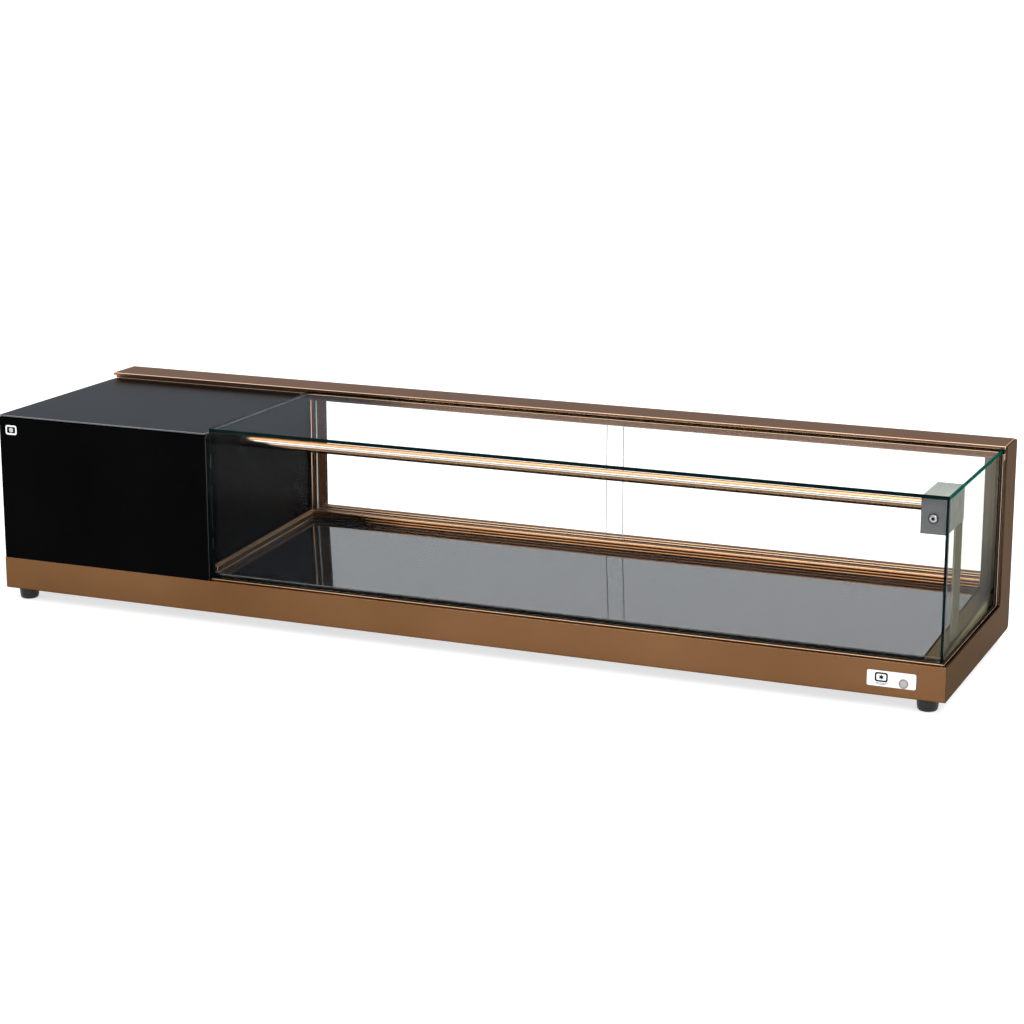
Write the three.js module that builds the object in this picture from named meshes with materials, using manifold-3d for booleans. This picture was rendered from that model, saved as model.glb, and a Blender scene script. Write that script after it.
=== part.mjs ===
// A countertop refrigerated display case: a long glazed box on a bronze aluminium base,
// a black machine housing at its left end, and two glass doors that slide at the rear.
// Millimetres, +Z up, +X to the glazed end, -Y to the customer's side.
// The origin is on the counter, under the middle of the case.
import * as THREE from "three";
import { mergeVertices } from "three/addons/utils/BufferGeometryUtils.js";
import Module from "manifold-3d";

const wasm = await Module();
wasm.setup();

// ---- driving dimensions ----
const LENGTH = 1500;
const DEPTH = 400;
const FOOT_HEIGHT = 18;
const BASE_HEIGHT = 50;
const FRAME_HEIGHT = 288; // top of the rear rail above the underside of the base
const HOUSING_WIDTH = 366;
const REAR_FRAME_DEPTH = 65;
const GLASS = 5;
const WALL = 3; // aluminium extrusions
const SHEET = 2; // steel panels
const GAP = 0.3; // clearance between neighbouring pieces

// ---- levels, worked out from them ----
const LEFT = -LENGTH / 2;
const RIGHT = LENGTH / 2;
const FRONT = -DEPTH / 2 + 2; // the plate and its button stand 2 mm proud of the front rail
const REAR = DEPTH / 2;
const BASE_BOTTOM = FOOT_HEIGHT;
const BASE_TOP = BASE_BOTTOM + BASE_HEIGHT;
const RAIL_TOP = BASE_BOTTOM + FRAME_HEIGHT;
const GLASS_TOP = RAIL_TOP - 5;
const GLASS_UNDER = GLASS_TOP - GLASS;
const HOUSING_TOP = RAIL_TOP - 10;
const HEADER_BOTTOM = RAIL_TOP - 20.5;
const DECK_FRONT_LEVEL = BASE_TOP + 8; // the deck climbs from here ...
const DECK_REAR_LEVEL = BASE_TOP + 24; // ... to here at the sill
const SILL_TOP = DECK_REAR_LEVEL + 13;
const TRACK_DEPTH = 8; // depth of the grooves that the doors run in
const FRAME_FRONT = REAR - REAR_FRAME_DEPTH; // front plane of the rear frame
const CASE_LEFT = LEFT + HOUSING_WIDTH; // the housing's wall, on the display side

// ---- glazing planes ----
const FRONT_GLASS_Y = FRONT + 14.3; // outer face of the front pane
const SIDE_GLASS_X = RIGHT - 8; // outer face of the end pane
const INNER_FRONT = FRONT_GLASS_Y + GLASS;
const INNER_RIGHT = SIDE_GLASS_X - GLASS;

const SLOT_DEPTH = 8; // how far the top pane enters the rear rail

// ---- doors ----
const TRACKS = { front: FRAME_FRONT + 16, rear: FRAME_FRONT + 29 }; // middle of each groove
const TRACK_WIDTH = 8;
const RUNNER_WIDTH = 7;
const WINDOW_LEFT = CASE_LEFT + 4.7;
const WINDOW_RIGHT = RIGHT - 33;
const LEFT_DOOR_EDGE = 154; // free edge of the left door when shut
const RIGHT_DOOR_EDGE = 122; // free edge of the right door when shut
const DOOR_END_GAP = 1.2;

// ---- deck ----
const DECK_THICK = 5;
const DECK_TRIM_WIDTH = 21.7;

// ---- upper cooling tube and its end bracket ----
const TUBE_R = 8;
const TUBE_Y = FRONT + 110;
const TUBE_Z = RAIL_TOP - 42;
const BRACKET = { width: 35, depth: 96, height: 50 };

// ---- maker's plate and button on the front rail ----
const SLIDE_GAP = 0.4; // round the button
const NAMEPLATE = { x: 676, z: BASE_BOTTOM + 25.5, width: 68, height: 22 };
const BUTTON = { x: NAMEPLATE.x + 17, z: NAMEPLATE.z - 4, r: 5 };

// ---- machine in the housing ----
const COMPRESSOR = { x: -655, y: -72, r: 56, top: 190 };
const CONDENSER = { x: [-720, -540], y: [144, 178], z: [40, 240], fins: 18 };
const FAN = { x: -630, y: 119, z: 140, r: 76, blades: 5, pitch: 0.6 };
const DRIER = { y: 92, z: [90, 180], r: 9 };
const CONTROLS = { x: [-486, -402], z: [160, 262], inset: 10 };
const GLAND = { x: -444, z: 95, r: 8 };

const bronze = { color: 0x7a5a3c, roughness: 0.38, metalness: 0.75 };
const bronzeDark = { color: 0x4b3c2c, roughness: 0.3, metalness: 0.7 };
const blackPaint = { color: 0x0c0c0d, roughness: 0.35, metalness: 0.2 };
const blackGloss = { color: 0x15161a, roughness: 0.08, metalness: 0.1 };
const clearGlass = { color: 0xdcefe9, roughness: 0.02, metalness: 0, transparent: true, opacity: 0.3 };
const rubber = { color: 0x1b1a18, roughness: 0.8, metalness: 0 };
const copper = { color: 0xb9764a, roughness: 0.16, metalness: 1 };
const brushedSteel = { color: 0x8e8e8c, roughness: 0.35, metalness: 0.9 };
const chrome = { color: 0xd6d6d4, roughness: 0.1, metalness: 1 };
const galvanised = { color: 0xa3a6a6, roughness: 0.5, metalness: 0.8 };
const foam = { color: 0xe7e0c4, roughness: 0.95, metalness: 0 };
const whitePlastic = { color: 0xf2f1ef, roughness: 0.35, metalness: 0 };
const greyPlastic = { color: 0xb3aaa5, roughness: 0.4, metalness: 0 };
const blackPlastic = { color: 0x141414, roughness: 0.5, metalness: 0 };

const displayCase = new THREE.Group();
displayCase.name = "display_case";

function add(name, geometry, look) {
  const mesh = new THREE.Mesh(geometry, new THREE.MeshStandardMaterial(look));
  mesh.name = name;
  displayCase.add(mesh);
  return mesh;
}

// ---- shape helpers ----
function outline(points) {
  return new THREE.Shape(points.map(([a, b]) => new THREE.Vector2(a, b)));
}

function rectangle(a0, a1, b0, b1) {
  return [[a0, b0], [a1, b0], [a1, b1], [a0, b1]];
}

function block([x0, x1], [y0, y1], [z0, z1]) {
  const geometry = new THREE.BoxGeometry(x1 - x0, y1 - y0, z1 - z0);
  return geometry.translate((x0 + x1) / 2, (y0 + y1) / 2, (z0 + z1) / 2);
}

// The outline lies in (y, z) and runs along X.
function alongX(shape, x0, x1, curveSegments = 12) {
  const options = { depth: x1 - x0, bevelEnabled: false, curveSegments };
  const geometry = new THREE.ExtrudeGeometry(shape, options);
  const axes = new THREE.Matrix4().makeBasis(
    new THREE.Vector3(0, 1, 0), new THREE.Vector3(0, 0, 1), new THREE.Vector3(1, 0, 0));
  return geometry.applyMatrix4(axes).translate(x0, 0, 0);
}

// The outline lies in (x, z) and runs along Y.
function alongY(shape, y0, y1) {
  const geometry = new THREE.ExtrudeGeometry(shape, { depth: y1 - y0, bevelEnabled: false });
  const axes = new THREE.Matrix4().makeBasis(
    new THREE.Vector3(1, 0, 0), new THREE.Vector3(0, 0, 1), new THREE.Vector3(0, -1, 0));
  return geometry.applyMatrix4(axes).translate(0, y1, 0);
}

// The outline lies in (x, y) and runs along Z.
function alongZ(shape, z0, z1) {
  const geometry = new THREE.ExtrudeGeometry(shape, { depth: z1 - z0, bevelEnabled: false });
  return geometry.translate(0, 0, z0);
}

function roundHole(a, b, radius) {
  const hole = new THREE.Path();
  hole.absarc(a, b, radius, 0, Math.PI * 2, true);
  return hole;
}

// Rows of level slots, for air.
function slotHoles([a0, a1], [b0, b1], count, slotHeight) {
  const pitch = (b1 - b0) / (count - 1);
  const holes = [];
  for (let i = 0; i < count; i += 1) {
    const low = b0 + pitch * i - slotHeight / 2;
    const corners = rectangle(a0, a1, low, low + slotHeight);
    holes.push(new THREE.Path(corners.map(([a, b]) => new THREE.Vector2(a, b))));
  }
  return holes;
}

function roundedRectangle(a0, a1, b0, b1, r) {
  const shape = new THREE.Shape();
  shape.moveTo(a0 + r, b0);
  shape.absarc(a1 - r, b0 + r, r, -Math.PI / 2, 0, false);
  shape.absarc(a1 - r, b1 - r, r, 0, Math.PI / 2, false);
  shape.absarc(a0 + r, b1 - r, r, Math.PI / 2, Math.PI, false);
  shape.absarc(a0 + r, b0 + r, r, Math.PI, Math.PI * 1.5, false);
  return shape;
}

// Height of the deck's surface at a distance from front to rear.
function deckLevel(y) {
  const share = (y - INNER_FRONT) / (FRAME_FRONT - INNER_FRONT);
  return DECK_FRONT_LEVEL + share * (DECK_REAR_LEVEL - DECK_FRONT_LEVEL);
}

// Slopes a piece that was made for a deck at height 0.
function onDeck(geometry) {
  const position = geometry.attributes.position;
  for (let i = 0; i < position.count; i += 1) {
    position.setZ(i, position.getZ(i) + deckLevel(position.getY(i)));
  }
  return geometry;
}

// Turned pieces: the profile is a list of [radius, distance along the axis].
function lathe(profile, sides) {
  return new THREE.LatheGeometry(profile.map(([r, h]) => new THREE.Vector2(r, h)), sides);
}

function turned(profile, sides = 24) {
  return lathe(profile, sides).rotateX(Math.PI / 2);
}

function turnedAlongY(profile, sides = 24) {
  return lathe(profile, sides);
}

function turnedAlongX(profile, sides = 24) {
  return lathe(profile, sides).rotateZ(-Math.PI / 2);
}

function cylinderAlongY(radius, length, sides = 20) {
  return new THREE.CylinderGeometry(radius, radius, length, sides);
}

// ---- joining and cutting ----
function toSolid(geometry) {
  const bare = geometry.clone();
  bare.deleteAttribute("normal");
  bare.deleteAttribute("uv");
  const merged = mergeVertices(bare, 1e-4);
  return new wasm.Manifold(new wasm.Mesh({
    numProp: 3,
    vertProperties: new Float32Array(merged.attributes.position.array),
    triVerts: new Uint32Array(merged.index.array),
  }));
}

function toGeometry(solid) {
  const mesh = solid.getMesh();
  const geometry = new THREE.BufferGeometry();
  geometry.setAttribute("position", new THREE.BufferAttribute(new Float32Array(mesh.vertProperties), 3));
  geometry.setIndex(new THREE.BufferAttribute(new Uint32Array(mesh.triVerts), 1));
  geometry.computeVertexNormals();
  return geometry;
}

function joined(...geometries) {
  return toGeometry(geometries.map(toSolid).reduce((a, b) => a.add(b)));
}

function cut(geometry, ...tools) {
  return toGeometry(tools.map(toSolid).reduce((body, tool) => body.subtract(tool), toSolid(geometry)));
}

// A run of pipe through a list of points, with each corner turned to a radius.
// It steps from knot to knot, so straight stretches cost no triangles.
class PipeRun extends THREE.Curve {
  constructor(corners, bendRadius, bendSteps = 4) {
    super();
    const points = corners.map((p) => new THREE.Vector3(...p));
    this.knots = [points[0]];
    for (let i = 1; i < points.length - 1; i += 1) {
      const back = points[i - 1].clone().sub(points[i]).setLength(bendRadius);
      const ahead = points[i + 1].clone().sub(points[i]).setLength(bendRadius);
      const bend = new THREE.QuadraticBezierCurve3(
        points[i].clone().add(back), points[i], points[i].clone().add(ahead));
      this.knots.push(...bend.getPoints(bendSteps));
    }
    this.knots.push(points[points.length - 1]);
  }

  get steps() {
    return this.knots.length - 1;
  }

  getPointAt(u) {
    const at = u * this.steps;
    const i = Math.min(Math.floor(at), this.steps - 1);
    return this.knots[i].clone().lerp(this.knots[i + 1], at - i);
  }

  getTangentAt(u) {
    const i = Math.round(u * this.steps);
    const before = this.knots[Math.max(i - 1, 0)];
    const after = this.knots[Math.min(i + 1, this.steps)];
    return after.clone().sub(before).normalize();
  }
}

function pipe(corners, radius, bendRadius, sides = 8) {
  const run = new PipeRun(corners, bendRadius);
  const section = new THREE.Shape();
  for (let i = 0; i < sides; i += 1) {
    const angle = (i / sides) * Math.PI * 2;
    const corner = [radius * Math.cos(angle), radius * Math.sin(angle)];
    if (i === 0) section.moveTo(...corner);
    else section.lineTo(...corner);
  }
  return new THREE.ExtrudeGeometry(section, { steps: run.steps, extrudePath: run, bevelEnabled: false });
}

// ---- base ----
const CHANNEL_FLOOR = BASE_TOP - 10; // the panes, beads and gaskets stand in this channel
const FLANGE_REACH = 18;
const CHANNEL_REACH = 20;
const FRONT_CORNER = 4; // outer radius of each rail's lower corner
const REAR_CORNER = 9;
const STANDING = CHANNEL_FLOOR + GAP;
const PAN_TOP = BASE_BOTTOM + WALL + GAP + 1.5;

// An extrusion like a letter F: outer wall, channel floor and bottom flange, with a rounded corner.
function railSection(outer, inward, radius) {
  const at = (reach) => outer + inward * reach;
  const steps = 4;
  const bend = (r) => {
    const points = [];
    for (let i = 0; i <= steps; i += 1) {
      const angle = (i / steps) * (Math.PI / 2);
      points.push([at(radius - r * Math.cos(angle)), BASE_BOTTOM + radius - r * Math.sin(angle)]);
    }
    return points;
  };
  return outline([
    ...bend(radius), [at(FLANGE_REACH), BASE_BOTTOM], [at(FLANGE_REACH), BASE_BOTTOM + WALL],
    ...bend(radius - WALL).reverse(), [at(WALL), CHANNEL_FLOOR - WALL],
    [at(CHANNEL_REACH), CHANNEL_FLOOR - WALL], [at(CHANNEL_REACH), CHANNEL_FLOOR],
    [at(WALL), CHANNEL_FLOOR], [at(WALL), BASE_TOP], [at(0), BASE_TOP],
  ]);
}

// The four outer pieces meet in mitres. Seen from above, a piece keeps its full length on its
// outer face and draws back at 45 degrees through the thickness of the wall.
function mitred(geometry, plan) {
  const column = alongZ(outline(plan), 0, RAIL_TOP + 1);
  return toGeometry(toSolid(geometry).intersect(toSolid(column)));
}

function mitredRail(geometry, outer, inward) {
  const [left, right] = [LEFT + GAP / 2, RIGHT - GAP / 2];
  const wall = outer + inward * WALL;
  const inside = outer + inward * 2 * CHANNEL_REACH;
  return mitred(geometry, [
    [left, outer], [right, outer], [right - WALL, wall], [right - WALL, inside],
    [left + WALL, inside], [left + WALL, wall]]);
}

function mitredPlate(geometry, outer, inward) {
  const [front, rear] = [FRONT + GAP / 2, REAR - GAP / 2];
  const wall = outer + inward * WALL;
  const inside = outer + inward * 2 * CHANNEL_REACH;
  return mitred(geometry, [
    [outer, front], [wall, front + WALL], [inside, front + WALL], [inside, rear - WALL],
    [wall, rear - WALL], [outer, rear]]);
}

function buildFrontRail() {
  const rail = mitredRail(alongX(railSection(FRONT, 1, FRONT_CORNER), LEFT, RIGHT), FRONT, 1);
  const hole = cylinderAlongY(BUTTON.r + SLIDE_GAP, 20).translate(BUTTON.x, FRONT, BUTTON.z);
  add("base_rail_front", cut(rail, hole), bronze);
}

function buildRearRail() {
  const rail = mitredRail(alongX(railSection(REAR, -1, REAR_CORNER), LEFT, RIGHT), REAR, -1);
  add("base_rail_rear", rail, bronze);
}

// The outline of an end face's lower part, from its front top corner round to its rear top corner.
function endOutline() {
  const [front, rear] = [FRONT + FRONT_CORNER, REAR - REAR_CORNER]; // centres of the round corners
  const shape = new THREE.Shape();
  shape.moveTo(FRONT, BASE_TOP);
  shape.lineTo(FRONT, BASE_BOTTOM + FRONT_CORNER);
  shape.absarc(front, BASE_BOTTOM + FRONT_CORNER, FRONT_CORNER, Math.PI, Math.PI * 1.5, false);
  shape.absarc(rear, BASE_BOTTOM + REAR_CORNER, REAR_CORNER, -Math.PI / 2, 0, false);
  return shape;
}

function buildLeftRail() {
  const shape = endOutline();
  shape.lineTo(REAR, BASE_TOP);
  add("base_rail_left", mitredPlate(alongX(shape, LEFT, LEFT + WALL, 4), LEFT, 1), bronze);
}

// The right end is one L-shaped plate, base side and rear post in one, with a ledge for the glass.
function buildSideFrame() {
  const [top, inner] = [6, 5]; // radii of the upper corner and of the corner inside the L
  const shape = endOutline();
  shape.lineTo(REAR, RAIL_TOP - top);
  shape.absarc(REAR - top, RAIL_TOP - top, top, 0, Math.PI / 2, false);
  shape.lineTo(FRAME_FRONT, RAIL_TOP);
  shape.lineTo(FRAME_FRONT, BASE_TOP + inner);
  shape.absarc(FRAME_FRONT - inner, BASE_TOP + inner, inner, 0, -Math.PI / 2, true);
  const plate = mitredPlate(alongX(shape, RIGHT - WALL, RIGHT, 4), RIGHT, -1);
  const ledge = block([RIGHT - CHANNEL_REACH, RIGHT - WALL / 2],
    [FRONT + CHANNEL_REACH + GAP, FRAME_FRONT - GAP], [CHANNEL_FLOOR - WALL, CHANNEL_FLOOR]);
  add("side_frame_right", joined(plate, ledge), bronze);
}

function buildBasePan() {
  const edge = WALL + GAP;
  add("base_pan", block([LEFT + edge, RIGHT - edge], [FRONT + FRONT_CORNER, REAR - REAR_CORNER],
    [BASE_BOTTOM + edge, PAN_TOP]), galvanised);
}

function buildFeet() {
  const inset = { x: 28, y: 21 };
  const top = FOOT_HEIGHT - GAP;
  const profile = [[0, 0], [10, 0], [12.4, 0.9], [13.8, 2.6], [14.6, 6], [15.6, top], [0, top]];
  for (const [side, x] of [["left", LEFT + inset.x], ["right", RIGHT - inset.x]]) {
    for (const [end, y] of [["front", FRONT + inset.y], ["rear", REAR - inset.y]]) {
      add(`foot_${end}_${side}`, turned(profile).translate(x, y, 0), rubber);
    }
  }
}

// ---- maker's plate and power button ----
const PLATE_FACE = FRONT - 1.3;

function buildNameplate() {
  const { x, z, width, height } = NAMEPLATE;
  const shape = roundedRectangle(x - width / 2, x + width / 2, z - height / 2, z + height / 2, 2.5);
  shape.holes.push(roundHole(BUTTON.x, BUTTON.z, BUTTON.r + SLIDE_GAP));
  add("nameplate", alongY(shape, PLATE_FACE, FRONT - GAP), whitePlastic);
}

function buildPowerButton() {
  const wallBack = FRONT + WALL;
  const flange = { r: BUTTON.r + 1.6, front: wallBack + 0.5, back: wallBack + 2.5 };
  const cap = [[0, -DEPTH / 2], [BUTTON.r - 0.6, -DEPTH / 2], [BUTTON.r, -DEPTH / 2 + 0.6],
    [BUTTON.r, flange.front], [flange.r, flange.front], [flange.r, flange.back], [0, flange.back]];
  add("power_button", turnedAlongY(cap).translate(BUTTON.x, 0, BUTTON.z), greyPlastic);
  const cup = { r: flange.r + 3, inner: flange.r + 0.4, floor: flange.back + 4, back: flange.back + 13 };
  const body = [[0, cup.floor], [cup.inner, cup.floor], [cup.inner, wallBack + GAP],
    [cup.r, wallBack + GAP], [cup.r, cup.back], [0, cup.back]];
  add("button_switch", turnedAlongY(body).translate(BUTTON.x, 0, BUTTON.z), blackPlastic);
}

// ---- deck ----
const DECK_X = [CASE_LEFT + GAP, INNER_RIGHT - GAP - DECK_TRIM_WIDTH - GAP];
const DECK_Y = [INNER_FRONT + GAP, FRAME_FRONT - GAP];
const COIL_R = 3.5;
const COIL_DROP = DECK_THICK + GAP + COIL_R; // from the deck's surface to the coil's centre

function buildDeck() {
  add("display_deck", onDeck(block(DECK_X, DECK_Y, [-DECK_THICK, 0])), blackGloss);
  const [left, right] = [DECK_X[1] + GAP, INNER_RIGHT - GAP];
  const trim = outline([
    [left, -DECK_THICK], [right, -DECK_THICK], [right, 1], [left + 3, 1], [left + 2.6, 0],
    [left + 1.8, 0], [left + 1.4, 1.6], [left, 1.6]]);
  add("deck_trim_right", onDeck(alongY(trim, DECK_Y[0], DECK_Y[1])), bronzeDark);
}

function buildCoil() {
  const passes = 5;
  const [left, right] = [DECK_X[0] + 40, DECK_X[1] - 40];
  const [front, rear] = [DECK_Y[0] + 40, DECK_Y[1] - 40];
  const pitch = (rear - front) / (passes - 1);
  const corners = [];
  for (let i = 0; i < passes; i += 1) {
    const y = front + i * pitch;
    const [from, to] = i % 2 === 0 ? [left, right] : [right, left];
    corners.push([from, y, -COIL_DROP], [to, y, -COIL_DROP]);
  }
  add("evaporator_coil", onDeck(pipe(corners, COIL_R, 18)), copper);
}

function buildInsulation() {
  const [front, rear] = [FRONT + CHANNEL_REACH + GAP, FRAME_FRONT - GAP];
  const under = COIL_DROP + COIL_R + GAP * 2;
  const section = outline([
    [front, PAN_TOP + GAP], [rear, PAN_TOP + GAP], [rear, deckLevel(rear) - under],
    [front, deckLevel(front) - under]]);
  add("base_insulation", alongX(section, CASE_LEFT + GAP, RIGHT - CHANNEL_REACH - GAP), foam);
}

// A moulding on the foot of the housing's wall: a wide band between two fine beads.
function buildWallTrim() {
  const back = CASE_LEFT + GAP;
  const steps = [
    [6, 0], [6, 1.4], [2.5, 1.8], [2.5, 2.8], [5, 3.2], [5, 9.6], [2.5, 10], [2.5, 11.4], [4.5, 11.8],
    [4.5, 13.4], [0, 13.4]];
  const section = outline([[back, GAP], ...steps.map(([reach, rise]) => [back + reach, rise + GAP])]);
  add("wall_trim", onDeck(alongY(section, DECK_Y[0], DECK_Y[1])), bronze);
}

// ---- glass and what holds it ----
const BEAD = { x: [RIGHT - 6.8, RIGHT - 4.4], y: [FRONT + 6, FRONT + 11], top: BASE_TOP + 2.5, post: 7 };
const GASKET = { x: [RIGHT - 7.7, RIGHT - 7.1], y: [FRONT + 11.3, FRONT + 14], top: BASE_TOP + 3.2, post: 13 };

// An upright strip beside the rear post and a level strip along the base, in one piece.
function endStrip(strip) {
  const front = strip.y[0];
  const rear = FRAME_FRONT - GAP;
  const top = GLASS_UNDER - GAP;
  return alongX(outline([
    [front, STANDING], [rear, STANDING], [rear, top], [rear - strip.post, top],
    [rear - strip.post, strip.top], [front, strip.top]]), ...strip.x);
}

function buildGlazing() {
  const upright = [STANDING, GLASS_UNDER - GAP];
  const x = [CASE_LEFT + GAP, SIDE_GLASS_X];
  add("glass_front", block(x, [FRONT_GLASS_Y, INNER_FRONT], upright), clearGlass);
  add("glass_end", block([INNER_RIGHT, SIDE_GLASS_X], DECK_Y, upright), clearGlass);
  add("glass_top", block(x, [FRONT_GLASS_Y, FRAME_FRONT + SLOT_DEPTH - GAP], [GLASS_UNDER, GLASS_TOP]),
    clearGlass);
  add("glazing_bead_front", block([x[0], BEAD.x[0] - GAP], BEAD.y, [STANDING, BEAD.top]), bronze);
  add("glazing_gasket_front", block([x[0], GASKET.x[0] - GAP], GASKET.y, [STANDING, GASKET.top]), rubber);
  add("glazing_bead_end", endStrip(BEAD), bronze);
  add("glazing_gasket_end", endStrip(GASKET), rubber);
}

// ---- rear frame ----
// The sill below and the rail above carry the same three fences: the doors run between them.
const FENCE_EDGES = [
  FRAME_FRONT, TRACKS.front - TRACK_WIDTH / 2, TRACKS.front + TRACK_WIDTH / 2,
  TRACKS.rear - TRACK_WIDTH / 2, TRACKS.rear + TRACK_WIDTH / 2];
const SILL_FLOOR = SILL_TOP - TRACK_DEPTH;
const HEADER_CEILING = HEADER_BOTTOM + TRACK_DEPTH + 1;
const UNDER_HEADER = HEADER_BOTTOM - GAP;
const FRAME_REAR = REAR - WALL - GAP;
const REAR_FENCE = FENCE_EDGES[4] + 16; // back of the rearmost fence

function fenceOutline(floor, tip) {
  const [a, b, c, d, e] = FENCE_EDGES;
  return [[a, tip], [b, tip], [b, floor], [c, floor], [c, tip], [d, tip], [d, floor], [e, floor], [e, tip]];
}

function buildRearTopRail() {
  const over = GLASS_TOP + 0.4;
  const under = GLASS_UNDER - 0.4;
  const section = outline([
    [FRAME_FRONT, over], [FRAME_FRONT + SLOT_DEPTH, over], [FRAME_FRONT + SLOT_DEPTH, under],
    [FRAME_FRONT, under], ...fenceOutline(HEADER_CEILING, HEADER_BOTTOM),
    [REAR, HEADER_BOTTOM], [REAR, RAIL_TOP], [FRAME_FRONT, RAIL_TOP]]);
  add("rear_top_rail", alongX(section, LEFT, RIGHT - WALL - GAP), bronze);
}

function buildSill() {
  const section = outline([
    [FRAME_FRONT, STANDING], ...fenceOutline(SILL_FLOOR, SILL_TOP), [REAR_FENCE, SILL_TOP],
    [REAR_FENCE, SILL_FLOOR], [FRAME_REAR, SILL_FLOOR], [FRAME_REAR, STANDING],
    [FRAME_REAR - WALL, STANDING], [FRAME_REAR - WALL, SILL_FLOOR - WALL],
    [FRAME_FRONT + WALL, SILL_FLOOR - WALL], [FRAME_FRONT + WALL, STANDING]]);
  add("sill", alongX(section, CASE_LEFT + GAP, WINDOW_RIGHT - GAP), bronze);
}

function buildRearPosts() {
  add("rear_jamb_left", block([CASE_LEFT + GAP, WINDOW_LEFT], [FRAME_FRONT, REAR_FENCE],
    [SILL_TOP + GAP, UNDER_HEADER]), bronzeDark);
  add("rear_post_right", block([WINDOW_RIGHT, RIGHT - WALL - GAP], [FRAME_FRONT, FRAME_REAR],
    [STANDING, UNDER_HEADER]), bronzeDark);
}

function buildDoor(side, [x0, x1], trackY) {
  const foot = SILL_FLOOR + 0.4;
  const top = SILL_TOP - 1;
  const runner = RUNNER_WIDTH / 2;
  const slot = GLASS / 2 + 0.2;
  const channel = outline([
    [trackY - runner, foot], [trackY + runner, foot], [trackY + runner, top], [trackY + slot, top],
    [trackY + slot, foot + 1.6], [trackY - slot, foot + 1.6], [trackY - slot, top], [trackY - runner, top]]);
  add(`door_${side}_runner`, alongX(channel, x0, x1), blackPlastic);
  add(`door_${side}_glass`, block([x0, x1], [trackY - GLASS / 2, trackY + GLASS / 2],
    [foot + 1.9, HEADER_CEILING - 2]), clearGlass);
}

// ---- upper cooling tube ----
function buildUpperTube() {
  const start = CASE_LEFT - 14;
  const length = INNER_RIGHT - 5 - start;
  const bore = TUBE_R - 1;
  const ring = [[bore, 0], [TUBE_R, 0], [TUBE_R, length], [bore, length], [bore, 0]];
  add("cooling_tube", turnedAlongX(ring, 32).translate(start, TUBE_Y, TUBE_Z), copper);
}

function buildGrommet() {
  const bore = TUBE_R + GAP;
  const [neck, rim] = [bore + 1.2, bore + 3];
  const profile = [[bore, -6], [rim, -6], [rim, -SHEET - GAP], [neck, -SHEET - GAP], [neck, GAP],
    [rim, GAP], [rim, 2], [bore, 2], [bore, -6]];
  add("tube_grommet", turnedAlongX(profile).translate(CASE_LEFT, TUBE_Y, TUBE_Z), rubber);
}

// A folded cover at the tube's far end: front, end and top plates, open to the rest of the case.
const BRACKET_RIGHT = INNER_RIGHT - 0.5;
const BRACKET_FRONT = INNER_FRONT + 4.5;
const BRACKET_REAR = BRACKET_FRONT + BRACKET.depth;
const BRACKET_TOP = GLASS_UNDER - 1;
const BRACKET_BOTTOM = BRACKET_TOP - BRACKET.height;

function buildTubeBracket() {
  const plate = 1.5;
  const left = BRACKET_RIGHT - BRACKET.width;
  const x = [left, BRACKET_RIGHT];
  const y = [BRACKET_FRONT, BRACKET_REAR];
  const z = [BRACKET_BOTTOM, BRACKET_TOP];
  const folded = joined(
    block(x, [BRACKET_FRONT, BRACKET_FRONT + plate], z),
    block([BRACKET_RIGHT - plate, BRACKET_RIGHT], y, z),
    block(x, y, [BRACKET_TOP - plate, BRACKET_TOP]));
  const screwX = (left + BRACKET_RIGHT) / 2;
  const screwZ = TUBE_Z + 3;
  const shank = 3;
  const hole = cylinderAlongY(shank + GAP, 10).translate(screwX, BRACKET_FRONT, screwZ);
  add("tube_bracket", cut(folded, hole), brushedSteel);
  const screw = [[0, -3.6], [4.6, -3.6], [5.6, -2.8], [5.6, -1.4], [7.5, -1.2], [7.5, -GAP],
    [shank, -GAP], [shank, 8], [0, 8]];
  add("bracket_screw", turnedAlongY(screw).translate(screwX, BRACKET_FRONT, screwZ), chrome);
}

function buildBracketStrap() {
  add("bracket_strap", block([BRACKET_RIGHT - 3, BRACKET_RIGHT], [BRACKET_REAR - 42, BRACKET_REAR - 4],
    [deckLevel(BRACKET_REAR) + 1 + GAP, BRACKET_BOTTOM - GAP]), bronzeDark);
}

// ---- machine housing ----
const PANEL_FRONT = FRONT + 1;
const PANEL_LEFT = LEFT + 0.5;
const PANEL_REAR = REAR - 1;
const PANEL_FOOT = BASE_TOP + GAP;
const COVER_UNDER = HOUSING_TOP - SHEET;

// The top edge of the front panel is rolled inwards.
function buildHousingFront() {
  const roll = 3;
  const top = COVER_UNDER - 1;
  const inside = PANEL_FRONT + SHEET;
  const shape = new THREE.Shape();
  shape.moveTo(PANEL_FRONT, PANEL_FOOT);
  shape.lineTo(inside, PANEL_FOOT);
  shape.lineTo(inside, top - roll);
  shape.lineTo(inside + 1, top - SHEET);
  shape.lineTo(inside + 7, top - SHEET);
  shape.lineTo(inside + 7, top);
  shape.lineTo(PANEL_FRONT + roll, top);
  shape.absarc(PANEL_FRONT + roll, top - roll, roll, Math.PI / 2, Math.PI, false);
  add("housing_front_panel", alongX(shape, PANEL_LEFT, CASE_LEFT), blackPaint);
}

function buildHousingTop() {
  add("housing_top_cover", block([LEFT + GAP, CASE_LEFT], [FRONT + GAP, FRAME_FRONT - GAP],
    [COVER_UNDER, HOUSING_TOP]), blackPaint);
}

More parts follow.
